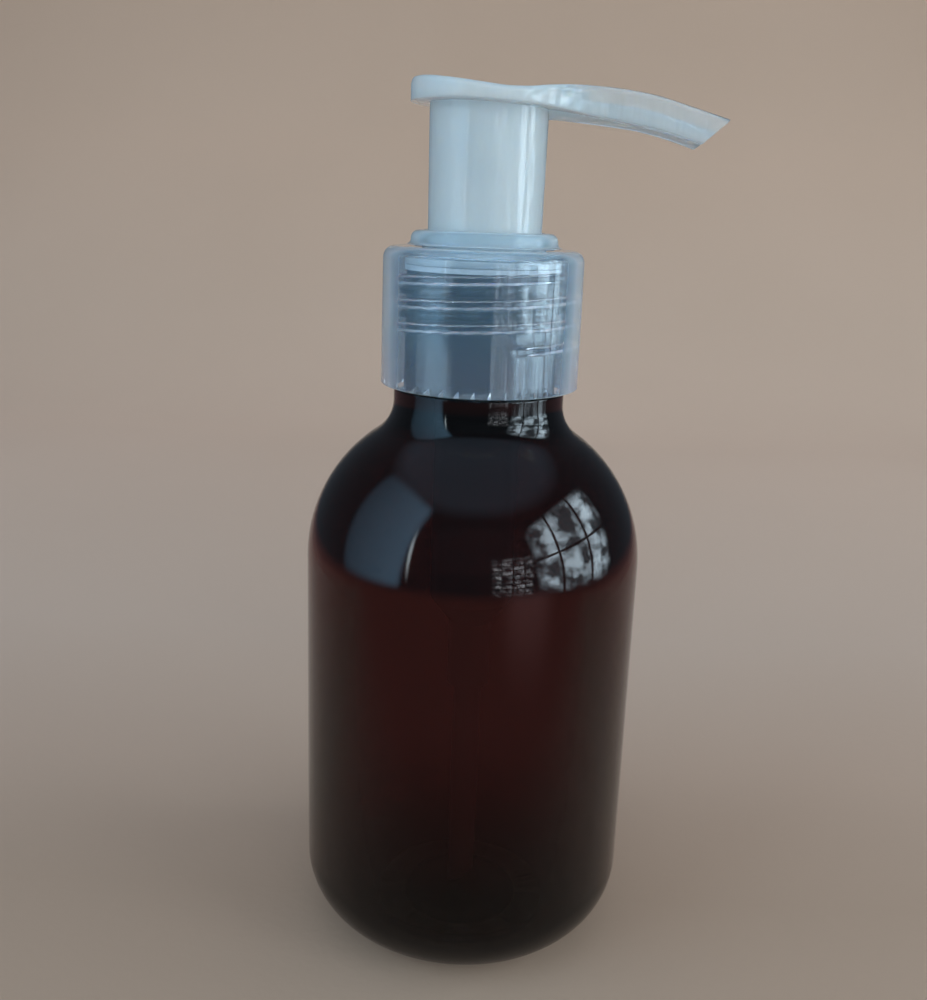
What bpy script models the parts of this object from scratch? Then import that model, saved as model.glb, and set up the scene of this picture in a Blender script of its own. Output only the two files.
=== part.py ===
"""Pump oil bottle: an amber bottle with a translucent screw-on lotion pump.

The bottle stands on Z = 0 with its axis on Z and the spout pointing along +X.
Dimensions are named below in millimetres; MM turns them into metres.
"""

import math

import bmesh
import bpy

MM = 0.001

# ---- bottle -------------------------------------------------------------
BODY_R = 28.7
BODY_WALL = 1.1
HEEL_R = 13.0            # rounded heel between the base and the side
HEEL_SQUASH = 0.97
STRAIGHT_TOP = 68.8      # the side is a plain cylinder up to here
SHOULDER_R = 26.2        # convex arc of the shoulder
NECK_FILLET_R = 6.7      # concave arc between shoulder and neck
NECK_R = 14.3            # plain neck under the screw finish
NECK_LEDGE_Z = 98.4
FINISH_R = 12.6          # root of the neck's thread
FINISH_TOP = 117.3
BORE_R = 11.0            # mouth of the bottle
BORE_LOW = 94.6          # below this the inside opens out under the shoulder
INNER_TURN = 57          # degrees of the shoulder's arc that the inside follows
BASE_CENTRE_R = 9.0      # flat disc, raised a little above the standing ring
BASE_RAISE = 0.5
STAND_R = 10.4
BASE_WALL = 1.6

# ---- thread, right-handed -------------------------------------------------
PITCH = 3.63             # seven turns per inch
NECK_THREAD_CREST = 13.7
NECK_THREAD_START_DEG = 37.5   # where the neck's ridge begins, about Z from +X
NECK_THREAD_TURNS = 1.75
CAP_THREAD_CREST = 13.05
CAP_THREAD_LOW = 105.9
CAP_THREAD_START_DEG = -75.0
CAP_THREAD_TURNS = 3.125
RIDGE_ROOT_W = 1.45
RIDGE_CREST_W = 0.75
RIDGE_BURY = 0.35        # how deep a ridge is rooted in its wall
FADE_TURNS = 0.12        # length over which a ridge rises from the wall

# ---- closure --------------------------------------------------------------
CAP_R = 16.5
CAP_R_TOP = 16.42
CAP_BOTTOM = 98.8
CAP_TOP = 121.1
CAP_EDGE_R = 1.9
CAP_INNER_R = 14.3
CAP_PLATE_Z = 119.6      # underside of the top plate
CAP_HOLE_R = 11.3
NOTCH_COUNT = 38         # short radial notches in the lower rim
NOTCH_OUTER_R = 15.9
NOTCH_INNER_DEPTH = 1.2  # the notch runs out towards the outside of the wall
NOTCH_OUTER_DEPTH = 0.15
NOTCH_WIDTH = 0.42
NOTCH_LEAN = 2.5         # degrees about the axis from a notch's outer end to its inner end

# ---- pump body ------------------------------------------------------------
GASKET_IN = 11.2
GASKET_OUT = 12.85
GASKET_Z = (117.4, 118.2)
FLANGE_OUT = 12.85
FLANGE_Z = (118.3, 119.4)
WELL_OUT = 10.85         # wide upper part of the housing, inside the neck
WELL_IN = 10.25
WELL_FLOOR = 100.3
CYL_OUT = 7.2
CYL_IN = 6.4
CYL_FLOOR = 61.4
CAGE_R = 2.3             # little chamber in which the inlet ball moves
SEAT_HOLE_R = 1.2
SEAT_APEX = 56.0         # where the seat's 45 degree cone would come to a point
SOCKET_OUT = 3.7
SOCKET_IN = 2.55
SOCKET_BOTTOM = 44.5

COLLAR_R = 12.0
COLLAR_BOTTOM = 121.35
COLLAR_TOP = 123.7
COLLAR_EDGE_R = 1.4
COLLAR_FOOT_R = 12.7     # small flare that sits over the closure's top plate
BARREL_OUT = 10.12
BARREL_IN = 9.62
BARREL_FLOOR = 101.3
BARREL_FLOOR_T = 1.0
GUIDE_OUT = 4.1
GUIDE_IN = 3.0
GUIDE_TOP = 114.0

# ---- moving parts of the pump -------------------------------------------
SLEEVE_R_LOW = 9.24
SLEEVE_R_HIGH = 9.45
SLEEVE_WALL = 0.9
SLEEVE_BOTTOM = 120.4
STEM_OUT = 2.8
STEM_IN = 1.6
STEM_TOP = 139.4
STEM_BOTTOM = 94.4
PORT_R = 0.7
PORT_Z = 96.0
PISTON_R = 6.32
PISTON_IN = 3.0
PISTON_Z = (93.9, 99.0)
PISTON_HUB_R = 4.3
PISTON_WEB_R = 5.0       # foot of the groove behind each lip
PISTON_WAIST_R = 5.7
PISTON_LIP = 0.9         # height of a lip's wiping land
PISTON_GROOVE = 1.2
SEAT_FLANGE_R = 4.9
SEAT_FLANGE_Z = (92.3, 93.8)
SPRING_R = 4.3
SPRING_WIRE_R = 0.42
SPRING_COILS = 8         # working turns; one dead turn closes each end
SPRING_GAP = 0.12
RETAINER_Z = (61.7, 63.3)
RETAINER_R = 6.1
RETAINER_HOLE_R = 1.0    # middle hole, through which the oil passes
RETAINER_RIM_R = 5.1     # inside this the disc is lower, to seat the spring
RETAINER_STEP = 0.7
RETAINER_SLOT_R = 0.75
RETAINER_SLOT_AT = 2.6
BALL_R = 1.7
BALL_CLEARANCE = 0.08
TUBE_OUT = 2.45
TUBE_IN = 1.7
TUBE_TOP = 55.0
TUBE_BOTTOM = 3.6
TUBE_CUT_RISE = 3.4      # the foot of the tube is cut on the slant

# ---- press head -----------------------------------------------------------
PAD_R = 12.45
PAD_FILLET_R = 14.0      # plan curve where the pad flows into the spout
SPOUT_HALF_W = 4.2
SPOUT_TIP_HALF_W = 3.1
SPOUT_END = 37.4
# X position, height of the top edge, height of the side wall's lower edge
HEAD_STATIONS = (
    (-12.7, 146.45, 143.1),
    (-10.0, 146.4, 143.05),
    (-4.0, 145.6, 142.85),
    (2.0, 144.9, 142.6),
    (6.0, 145.0, 142.5),
    (9.5, 145.6, 142.4),
    (12.5, 145.95, 142.1),
    (17.0, 145.95, 141.4),
    (21.0, 145.65, 140.8),
    (26.0, 144.9, 139.9),
    (31.0, 143.6, 138.7),
    (35.0, 142.5, 137.6),
    (39.5, 141.2, 136.3),
)
CROWN = 0.35             # rise of the spout's top between its edges
DISH = 0.6               # finger dish of the pad
DISH_END_X = 12.0        # the dish runs out into the crown over DISH_FADE up to here
DISH_FADE = 10.0
PAD_BACK_HALF_W = 1.4    # half width of the flat at the very back of the pad
TOP_EDGE_R = 0.9
CHANNEL_OUT = 2.2        # round channel under the spout
CHANNEL_IN = 1.25
CHANNEL_PATH = (
    (2.5, 141.7), (6.0, 142.5), (9.0, 143.2), (12.5, 143.1), (20.0, 142.4), (24.0, 141.9),
    (28.0, 141.0), (31.0, 140.15), (34.0, 139.2), (38.0, 137.9),
)
END_POINT = (35.2, 139.75)   # a point on the slanting end cut
END_NORMAL = (0.667, -0.745)
HEAD_SOCKET_OUT = 4.5
HEAD_SOCKET_IN = 2.95
HEAD_SOCKET_BOTTOM = 133.0
HEAD_ROOT_Z = 143.9      # sleeve and socket run up into the pad to here
STEM_BORE_TOP = 142.2    # the way up from the stem ends in a small dome above here

SEGMENTS = 48
SMALL_SEGMENTS = 24
CHAMFER = 0.3            # small edge breaks
PAST = 1.0               # how far a cutter runs past what it cuts


# ---- materials --------------------------------------------------------------
def material(name, colour, roughness, transmission=0.0):
    mat = bpy.data.materials.new(name)
    mat.use_nodes = True
    shader = mat.node_tree.nodes["Principled BSDF"]
    shader.inputs["Base Color"].default_value = (*colour, 1.0)
    shader.inputs["Roughness"].default_value = roughness
    shader.inputs["Transmission Weight"].default_value = transmission
    return mat


# ---- mesh helpers -----------------------------------------------------------
def make_object(name, points, faces, mat=None, helper=False):
    """An object from points in millimetres, shaded smooth, with its faces turned outwards."""
    mesh = bpy.data.meshes.new(name)
    mesh.from_pydata([tuple(c * MM for c in p) for p in points], [], faces)
    work = bmesh.new()
    work.from_mesh(mesh)
    bmesh.ops.recalc_face_normals(work, faces=work.faces)
    work.to_mesh(mesh)
    work.free()
    mesh.shade_smooth()
    mesh.set_sharp_from_angle(angle=math.radians(35))
    obj = bpy.data.objects.new(name, mesh)
    bpy.context.scene.collection.objects.link(obj)
    if mat:
        mesh.materials.append(mat)
    if helper:
        obj.hide_render = True
        obj.display_type = "WIRE"
    return obj


def lathe(name, loop, mat=None, segments=SEGMENTS, helper=False):
    """Turns a closed (radius, height) loop about Z. A point of radius 0 becomes one vertex."""
    points = []
    rings = []
    for r, z in loop:
        if r == 0.0:
            rings.append([len(points)] * segments)
            points.append((0.0, 0.0, z))
            continue
        rings.append([len(points) + i for i in range(segments)])
        for i in range(segments):
            a = 2 * math.pi * i / segments
            points.append((r * math.cos(a), r * math.sin(a), z))
    faces = []
    for k, ring in enumerate(rings):
        above = rings[(k + 1) % len(rings)]
        for i in range(segments):
            j = (i + 1) % segments
            corners = [ring[i], ring[j], above[j], above[i]]
            distinct = list(dict.fromkeys(corners))
            if len(distinct) > 2:
                faces.append(distinct)
    return make_object(name, points, faces, mat, helper)


def arc(cx, cz, radius, start, end, steps, squash=1.0):
    """Points (r, z) on an arc; the angles are in degrees from the +r direction."""
    out = []
    for i in range(steps + 1):
        a = math.radians(start + (end - start) * i / steps)
        out.append((cx + radius * math.cos(a), cz + squash * radius * math.sin(a)))
    return out


def sweep(name, rings, mat=None, helper=False, closed=False):
    """Skins a row of rings with equal point counts, capping both ends unless it is closed."""
    count = len(rings[0])
    points = [p for ring in rings for p in ring]
    faces = []
    for k in range(len(rings) - (0 if closed else 1)):
        a = k * count
        b = ((k + 1) % len(rings)) * count
        for i in range(count):
            j = (i + 1) % count
            faces.append((a + i, a + j, b + j, b + i))
    if not closed:
        faces.append(tuple(range(count)))
        faces.append(tuple(range(len(points) - count, len(points))))
    return make_object(name, points, faces, mat, helper)


def tube_rings(path, radius, count):
    """Circles round a path in the XZ plane, each square to the path."""
    rings = []
    for k, (x, z) in enumerate(path):
        x0, z0 = path[max(k - 1, 0)]
        x1, z1 = path[min(k + 1, len(path) - 1)]
        length = math.hypot(x1 - x0, z1 - z0)
        nx, nz = -(z1 - z0) / length, (x1 - x0) / length
        ring = []
        for i in range(count):
            a = 2 * math.pi * (i + 0.5) / count
            up, side = radius * math.sin(a), radius * math.cos(a)
            ring.append((x + nx * up, side, z + nz * up))
        rings.append(ring)
    return rings


def ridge(name, wall_r, crest_r, low_z, turns, start_deg):
    """A helical thread ridge rooted in the wall, fading into it at both ends."""
    steps = round(turns * SEGMENTS)
    into_wall = math.copysign(RIDGE_BURY, wall_r - crest_r)
    rings = []
    for i in range(steps + 1):
        t = i / SEGMENTS
        fade = min(1.0, t / FADE_TURNS, (turns - t) / FADE_TURNS)
        fade = max(fade, 0.0)
        a = math.radians(start_deg) + 2 * math.pi * t
        z = low_z + PITCH * t
        crest = wall_r + (crest_r - wall_r) * fade
        crest += into_wall * 0.5 * (1 - fade)
        width = 0.35 + 0.65 * fade
        half_root = width * RIDGE_ROOT_W / 2
        half_crest = width * RIDGE_CREST_W / 2
        root = wall_r + into_wall
        section = ((root, -half_root), (root, half_root), (crest, half_crest), (crest, -half_crest))
        rings.append([(r * math.cos(a), r * math.sin(a), z + dz) for r, dz in section])
    return sweep(name, rings, helper=True)


def boolean(target, cutter, operation):
    mod = target.modifiers.new(cutter.name, "BOOLEAN")
    mod.operation = operation
    mod.solver = "EXACT"
    mod.object = cutter


def join(target, *others):
    for other in others:
        boolean(target, other, "UNION")


def cut(target, *others):
    for other in others:
        boolean(target, other, "DIFFERENCE")


def interpolate(x, column):
    """Smooth value of a HEAD_STATIONS column at x, by a cubic through the stations."""
    table = HEAD_STATIONS
    k = 0
    while k < len(table) - 2 and x > table[k + 1][0]:
        k += 1
    p0, p1 = table[max(k - 1, 0)], table[k]
    p2, p3 = table[k + 1], table[min(k + 2, len(table) - 1)]
    span = p2[0] - p1[0]
    t = min(max((x - p1[0]) / span, 0.0), 1.0)
    m1 = (p2[column] - p0[column]) / (p2[0] - p0[0]) * span
    m2 = (p3[column] - p1[column]) / (p3[0] - p1[0]) * span
    a = 2 * p1[column] - 2 * p2[column] + m1 + m2
    b = -3 * p1[column] + 3 * p2[column] - 2 * m1 - m2
    return ((a * t + b) * t + m1) * t + p1[column]


# ---- bottle -------------------------------------------------------------------
def bottle_profile():
    """Outside from the base centre up to the mouth, then the inside back down."""
    centre_r = BODY_R - SHOULDER_R
    reach = SHOULDER_R + NECK_FILLET_R
    fillet_x = NECK_R + NECK_FILLET_R
    fillet_z = STRAIGHT_TOP + math.sqrt(reach**2 - (fillet_x - centre_r) ** 2)
    turn = math.degrees(math.acos((fillet_x - centre_r) / reach))
    heel_z = HEEL_R * HEEL_SQUASH

    outside = [(0.0, BASE_RAISE), (BASE_CENTRE_R, BASE_RAISE), (STAND_R, 0.0)]
    outside += arc(BODY_R - HEEL_R, heel_z, HEEL_R, -90, 0, 7, HEEL_SQUASH)
    outside += arc(centre_r, STRAIGHT_TOP, SHOULDER_R, 0, turn, 7)
    outside += arc(fillet_x, fillet_z, NECK_FILLET_R, 180 + turn, 180, 4)[1:]
    outside += [(NECK_R, NECK_LEDGE_Z - 0.4), (NECK_R - 0.4, NECK_LEDGE_Z)]
    outside += [(FINISH_R, NECK_LEDGE_Z), (FINISH_R, FINISH_TOP - 0.4), (FINISH_R - 0.4, FINISH_TOP)]

    inner_heel = HEEL_R - BODY_WALL
    inner_r = BODY_R - BODY_WALL
    inside = [(BORE_R + 0.3, FINISH_TOP), (BORE_R, FINISH_TOP - 0.3), (BORE_R, BORE_LOW)]
    inside += arc(centre_r, STRAIGHT_TOP, SHOULDER_R - BODY_WALL, INNER_TURN, 0, 4)
    floor = BASE_RAISE + BASE_WALL
    inside += arc(inner_r - inner_heel, floor - 0.3 + inner_heel, inner_heel, 0, -90, 4)
    inside += [(STAND_R, floor - 0.3), (BASE_CENTRE_R - 1.0, floor), (0.0, floor)]
    return outside + inside


def build_bottle(mat):
    bottle = lathe("bottle", bottle_profile(), mat)
    # The neck's ridge runs half a pitch above the cap's.
    ahead = (NECK_THREAD_START_DEG - CAP_THREAD_START_DEG) / 360
    low = CAP_THREAD_LOW + PITCH * (ahead + 0.5)
    thread = ridge("neck_thread", FINISH_R, NECK_THREAD_CREST, low, NECK_THREAD_TURNS,
                   NECK_THREAD_START_DEG)
    join(bottle, thread)
    return bottle


# ---- closure --------------------------------------------------------------------
def build_closure(mat):
    edge = CAP_EDGE_R
    loop = [(CAP_R - 0.25, CAP_BOTTOM), (CAP_R, CAP_BOTTOM + 0.3)]
    loop += arc(CAP_R_TOP - edge, CAP_TOP - edge, edge, 0, 90, 5)
    loop += [(CAP_HOLE_R + 0.2, CAP_TOP), (CAP_HOLE_R, CAP_TOP - 0.2), (CAP_HOLE_R, CAP_PLATE_Z)]
    loop += [(CAP_INNER_R - 0.4, CAP_PLATE_Z), (CAP_INNER_R, CAP_PLATE_Z - 0.4)]
    loop += [(CAP_INNER_R, CAP_BOTTOM + 0.5), (CAP_INNER_R + 0.4, CAP_BOTTOM)]
    closure = lathe("closure", loop, mat)
    thread = ridge("cap_thread", CAP_INNER_R, CAP_THREAD_CREST, CAP_THREAD_LOW, CAP_THREAD_TURNS,
                   CAP_THREAD_START_DEG)
    join(closure, thread)
    cut(closure, rim_notches())
    return closure


def rim_notches():
    """Wedges that cut the short radial notches into the lower rim, as one helper mesh."""
    points = []
    faces = []
    half = NOTCH_WIDTH / 2
    low = CAP_BOTTOM - 0.3
    ends = (
        (CAP_INNER_R - 0.3, math.radians(NOTCH_LEAN), NOTCH_INNER_DEPTH),
        (NOTCH_OUTER_R, 0.0, NOTCH_OUTER_DEPTH),
    )
    for k in range(NOTCH_COUNT):
        base = len(points)
        for r, lean, depth in ends:
            a = 2 * math.pi * k / NOTCH_COUNT + lean
            high = CAP_BOTTOM + depth
            for side, z in ((-half, low), (half, low), (half * 0.25, high), (-half * 0.25, high)):
                x = r * math.cos(a) - side * math.sin(a)
                y = r * math.sin(a) + side * math.cos(a)
                points.append((x, y, z))
        for i in range(4):
            j = (i + 1) % 4
            faces.append((base + i, base + j, base + 4 + j, base + 4 + i))
        faces.append(tuple(base + i for i in range(4)))
        faces.append(tuple(base + 4 + i for i in range(4)))
    return make_object("rim_notches", points, faces, helper=True)


# ---- fixed pump parts ---------------------------------------------------------
def build_gasket(mat):
    low, high = GASKET_Z
    loop = [(GASKET_IN, low), (GASKET_OUT, low), (GASKET_OUT, high), (GASKET_IN, high)]
    return lathe("gasket", loop, mat, 32)


def build_housing(mat):
    """Flange, wide well, pump cylinder, ball seat and dip tube socket in one moulding."""
    low, high = FLANGE_Z
    seat_top = SEAT_APEX + CAGE_R
    seat_low = SEAT_APEX + SEAT_HOLE_R
    loop = [
        (FLANGE_OUT, low), (FLANGE_OUT, high), (WELL_IN + 0.2, high), (WELL_IN, high - 0.2),
        (WELL_IN, WELL_FLOOR + 0.6), (WELL_IN - 0.6, WELL_FLOOR), (CYL_IN + 0.3, WELL_FLOOR),
        (CYL_IN, WELL_FLOOR - 0.6), (CYL_IN, CYL_FLOOR), (CAGE_R, CYL_FLOOR),
        (CAGE_R, seat_top), (SEAT_HOLE_R, seat_low), (SEAT_HOLE_R, seat_low - 0.8),
        (SOCKET_IN, seat_low - 1.2), (SOCKET_IN, SOCKET_BOTTOM),
        (SOCKET_OUT - 0.4, SOCKET_BOTTOM), (SOCKET_OUT, SOCKET_BOTTOM + 0.4),
        (SOCKET_OUT, seat_low - 0.4), (CYL_OUT - 1.6, CYL_FLOOR - 2.4), (CYL_OUT, CYL_FLOOR - 0.4),
        (CYL_OUT, WELL_FLOOR - 2.2), (WELL_OUT, WELL_FLOOR - 0.2), (WELL_OUT, low),
    ]
    return lathe("housing", loop, mat, 32)


def build_collar(mat):
    """The ring seen above the cap, its deep barrel, and the guide for the stem."""
    edge = COLLAR_EDGE_R
    floor = BARREL_FLOOR
    flare = COLLAR_FOOT_R - COLLAR_R
    loop = [(COLLAR_FOOT_R, COLLAR_BOTTOM)]
    loop += arc(COLLAR_FOOT_R, COLLAR_BOTTOM + 0.1 + flare, flare, 270, 180, 2)
    loop += arc(COLLAR_R - edge, COLLAR_TOP - edge, edge, 0, 90, 4)
    loop += [(BARREL_IN + 0.5, COLLAR_TOP), (BARREL_IN, COLLAR_TOP - 0.5)]
    loop += [(BARREL_IN, floor + BARREL_FLOOR_T), (GUIDE_OUT, floor + BARREL_FLOOR_T)]
    loop += [(GUIDE_OUT, GUIDE_TOP), (GUIDE_IN + CHAMFER, GUIDE_TOP), (GUIDE_IN, GUIDE_TOP - CHAMFER)]
    loop += [(GUIDE_IN, floor), (BARREL_OUT - 0.5, floor), (BARREL_OUT, floor + 0.5)]
    loop += [(BARREL_OUT, COLLAR_BOTTOM)]
    return lathe("collar", loop, mat, 40)


def build_dip_tube(mat):
    loop = [(TUBE_IN, TUBE_BOTTOM), (TUBE_OUT, TUBE_BOTTOM), (TUBE_OUT, TUBE_TOP), (TUBE_IN, TUBE_TOP)]
    tube = lathe("dip_tube", loop, mat, SMALL_SEGMENTS)
    side, low = TUBE_OUT + PAST, TUBE_BOTTOM - PAST
    wedge = [
        [(-side, y, low), (side, y, low), (side, y, TUBE_BOTTOM + TUBE_CUT_RISE)]
        for y in (-side, side)
    ]
    cut(tube, sweep("tube_end_cut", wedge, helper=True))
    return tube


def circle(cx, cy, radius, count):
    """Points (u, v) on a circle."""
    return [
        (cx + radius * math.cos(2 * math.pi * i / count), cy + radius * math.sin(2 * math.pi * i / count))
        for i in range(count)
    ]


def build_retainer(mat):
    """Slotted disc that keeps the inlet ball in its chamber and carries the spring."""
    low, high = RETAINER_Z
    seat = high - RETAINER_STEP
    loop = [
        (RETAINER_HOLE_R, low), (RETAINER_R, low), (RETAINER_R, high), (RETAINER_RIM_R, high),
        (RETAINER_RIM_R, seat), (RETAINER_HOLE_R, seat),
    ]
    disc = lathe("ball_retainer", loop, mat, 24)
    for k in range(4):
        a = math.radians(45 + 90 * k)
        slot = circle(RETAINER_SLOT_AT * math.cos(a), RETAINER_SLOT_AT * math.sin(a), RETAINER_SLOT_R, 10)
        rings = [[(x, y, z) for x, y in slot] for z in (low - PAST, high + PAST)]
        cut(disc, sweep(f"retainer_hole_{k}", rings, helper=True))
    return disc


# ---- moving pump parts --------------------------------------------------------
def build_stem(mat):
    loop = [(STEM_IN, STEM_BOTTOM), (STEM_OUT, STEM_BOTTOM), (STEM_OUT, STEM_TOP), (STEM_IN, STEM_TOP)]
    stem = lathe("stem", loop, mat, SMALL_SEGMENTS)
    port = circle(0.0, PORT_Z, PORT_R, 12)
    rings = [[(x, y, z) for y, z in port] for x in (-STEM_OUT - PAST, STEM_OUT + PAST)]
    cut(stem, sweep("stem_ports", rings, helper=True))
    return stem


def build_piston(mat):
    """Ring with a thin lip at each end that wipes the pump cylinder."""
    low, high = PISTON_Z
    mid = (low + high) / 2
    lip_in = PISTON_R - 0.5
    half = [
        (PISTON_IN, low), (PISTON_HUB_R, low), (PISTON_WEB_R, low + PISTON_GROOVE), (lip_in, low + 0.1),
        (PISTON_R, low), (PISTON_R, low + PISTON_LIP), (PISTON_WAIST_R, mid - 0.5),
    ]
    loop = half + [(r, low + high - z) for r, z in reversed(half)]
    return lathe("piston", loop, mat, 32)


def build_piston_seat(mat):
    """Plug in the foot of the stem; its flange closes the piston and rides on the spring."""
    low, high = SEAT_FLANGE_Z
    plug_r = STEM_IN - 0.15
    plug_top = PORT_Z - PORT_R - 0.1
    loop = [
        (0.0, low), (SEAT_FLANGE_R, low), (SEAT_FLANGE_R, high - CHAMFER), (SEAT_FLANGE_R - CHAMFER, high),
        (plug_r, high), (plug_r, plug_top - 0.4), (plug_r - 0.4, plug_top), (0.0, plug_top),
    ]
    return lathe("piston_seat", loop, mat, SMALL_SEGMENTS)


def build_spring(mat):
    """Coil spring between the retainer and the piston seat, with a closed turn at each end."""
    low = RETAINER_Z[1] - RETAINER_STEP + SPRING_WIRE_R + SPRING_GAP
    high = SEAT_FLANGE_Z[0] - SPRING_WIRE_R - SPRING_GAP
    per_turn, count = 14, 5
    turns = SPRING_COILS + 2
    dead = 2 * SPRING_WIRE_R + SPRING_GAP
    rings = []
    for i in range(turns * per_turn + 1):
        t = i / per_turn
        if t < 1:
            z = low + dead * t
        elif t > turns - 1:
            z = high - dead * (turns - t)
        else:
            z = low + dead + (high - low - 2 * dead) * (t - 1) / SPRING_COILS
        a = 2 * math.pi * t
        ring = []
        for j in range(count):
            b = 2 * math.pi * j / count
            r = SPRING_R + SPRING_WIRE_R * math.cos(b)
            ring.append((r * math.cos(a), r * math.sin(a), z + SPRING_WIRE_R * math.sin(b)))
        rings.append(ring)
    return sweep("spring", rings, mat)


def build_ball(mat):
    centre = SEAT_APEX + (BALL_R + BALL_CLEARANCE) * math.sqrt(2)
    loop = arc(0.0, centre, BALL_R, -90, 90, 8)
    loop[0] = (0.0, centre - BALL_R)
    loop[-1] = (0.0, centre + BALL_R)
    return lathe("inlet_ball", loop, mat, 16)


# ---- press head -----------------------------------------------------------------
def half_width(x):
    """Half width of the head in plan: a round pad that flows into the tapering spout."""
    reach = PAD_R + PAD_FILLET_R
    drop = SPOUT_HALF_W + PAD_FILLET_R
    fillet_x = math.sqrt(reach**2 - drop**2)
    touch = fillet_x * PAD_R / reach
    if x < touch:
        return math.sqrt(max(PAD_R**2 - x * x, 0.0))
    if x < fillet_x:
        return drop - math.sqrt(PAD_FILLET_R**2 - (x - fillet_x) ** 2)
    share = (x - fillet_x) / (SPOUT_END - fillet_x)
    return SPOUT_HALF_W + (SPOUT_TIP_HALF_W - SPOUT_HALF_W) * share


def back_rounding(x):
    """How far the rounded rim drops the top at the very back of the pad."""
    past = min(max(TOP_EDGE_R - PAD_R - x, 0.0), TOP_EDGE_R)
    return TOP_EDGE_R - math.sqrt(TOP_EDGE_R**2 - past**2)


def head_section(x):
    """Closed loop across the head at x: flat under, walls at the sides, rounded top edges."""
    w = max(half_width(x), PAD_BACK_HALF_W)
    top = interpolate(x, 1) - back_rounding(x)
    low = interpolate(x, 2)
    edge = min(TOP_EDGE_R, w * 0.4)
    pad_share = min(max((DISH_END_X - x) / DISH_FADE, 0.0), 1.0)
    middle = CROWN * (1 - pad_share) - DISH * pad_share * min(1.0, (w / PAD_R) ** 2)
    right = [(w, low), (w, top - edge), (w - 0.29 * edge, top - 0.29 * edge), (w - edge, top)]
    flat = w - edge
    right += [(flat * s, top + middle * (1 - s * s)) for s in (0.66, 0.33)]
    left = [(-y, z) for y, z in reversed(right)]
    loop = right + [(0.0, top + middle)] + left
    return [(x, y, z) for y, z in loop]


def build_head(mat):
    # Sections round the back of the pad, then along the spout and past its end cut.
    xs = [-PAD_R * math.cos(math.radians(a)) for a in (6, 14, 24, 35, 47, 60, 74, 88)]
    xs += [2.5, 5.0, 7.5, 10.0, 12.0, 14.0, 16.5, 19.5, 23.0, 26.5, 30.0, 33.0, 36.0, 39.0]
    head = sweep("head", [head_section(x) for x in xs], mat)
    channel = sweep("spout_channel", tube_rings(CHANNEL_PATH, CHANNEL_OUT, 20), helper=True)
    sleeve = lathe("sleeve", [
        (SLEEVE_R_LOW - SLEEVE_WALL, SLEEVE_BOTTOM), (SLEEVE_R_LOW, SLEEVE_BOTTOM),
        (SLEEVE_R_HIGH, HEAD_ROOT_Z - 0.2), (SLEEVE_R_HIGH - SLEEVE_WALL, HEAD_ROOT_Z - 0.2),
    ], helper=True)
    socket = lathe("head_socket", [
        (0.0, HEAD_SOCKET_BOTTOM), (HEAD_SOCKET_OUT, HEAD_SOCKET_BOTTOM),
        (HEAD_SOCKET_OUT, HEAD_ROOT_Z), (0.0, HEAD_ROOT_Z),
    ], segments=SMALL_SEGMENTS, helper=True)
    join(head, channel, sleeve, socket)

    stem_bore = lathe("stem_bore", [
        (0.0, HEAD_SOCKET_BOTTOM - PAST), (HEAD_SOCKET_IN, HEAD_SOCKET_BOTTOM - PAST),
        (HEAD_SOCKET_IN, STEM_TOP + 0.15), (STEM_IN, STEM_TOP + 0.15),
        (STEM_IN, STEM_BORE_TOP), (0.0, STEM_BORE_TOP + 0.7),
    ], segments=SMALL_SEGMENTS, helper=True)
    way_out = [(-0.6, 141.6), *CHANNEL_PATH, (41.0, 136.9)]
    spout_bore = sweep("spout_bore", tube_rings(way_out, CHANNEL_IN, 16), helper=True)
    cut(head, stem_bore, spout_bore, end_cutter())
    return head


def end_cutter():
    """Block whose face is the slanting end of the spout."""
    (px, pz), (nx, nz) = END_POINT, END_NORMAL
    reach, depth, side = 14.0, 9.0, 8.0
    near = [(px + s * reach * nz, pz - s * reach * nx) for s in (1, -1)]
    far = [(x + depth * nx, z + depth * nz) for x, z in reversed(near)]
    rings = [[(x, y, z) for x, z in near + far] for y in (-side, side)]
    return sweep("spout_end_cut", rings, helper=True)


def main():
    for obj in list(bpy.data.objects):
        bpy.data.objects.remove(obj)
    amber = material("amber_plastic", (0.10, 0.035, 0.012), 0.08, 0.9)
    clear_cap = material("natural_plastic", (0.80, 0.86, 0.90), 0.25, 0.6)
    white = material("white_plastic", (0.86, 0.88, 0.88), 0.35)
    seal = material("seal_foam", (0.90, 0.90, 0.88), 0.8)
    steel = material("spring_steel", (0.62, 0.62, 0.63), 0.25)
    build_bottle(amber)
    build_closure(clear_cap)
    build_gasket(seal)
    build_housing(clear_cap)
    build_collar(clear_cap)
    build_dip_tube(clear_cap)
    build_retainer(white)
    build_stem(white)
    build_piston(white)
    build_piston_seat(white)
    build_spring(steel)
    build_ball(steel)
    build_head(clear_cap)


main()
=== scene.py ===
"""The looks of the pump oil bottle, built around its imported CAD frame.

Sizes are in millimetres and MM turns them into metres. The axis of the bottle is Z, the
spout points along +X, and the heights of the pieces come from the CAD nodes' boxes.
"""

import math

import bmesh
import bpy
from mathutils import Matrix, Vector


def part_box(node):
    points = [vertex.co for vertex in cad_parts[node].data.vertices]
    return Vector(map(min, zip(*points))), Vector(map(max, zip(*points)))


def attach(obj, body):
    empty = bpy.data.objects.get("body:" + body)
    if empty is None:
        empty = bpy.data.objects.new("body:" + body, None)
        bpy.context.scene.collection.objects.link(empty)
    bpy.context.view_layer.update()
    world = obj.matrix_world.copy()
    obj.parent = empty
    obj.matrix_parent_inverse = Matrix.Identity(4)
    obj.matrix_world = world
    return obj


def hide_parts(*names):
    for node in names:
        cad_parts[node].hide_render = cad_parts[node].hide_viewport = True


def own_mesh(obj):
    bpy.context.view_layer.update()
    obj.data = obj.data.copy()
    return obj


MM = 0.001

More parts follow.
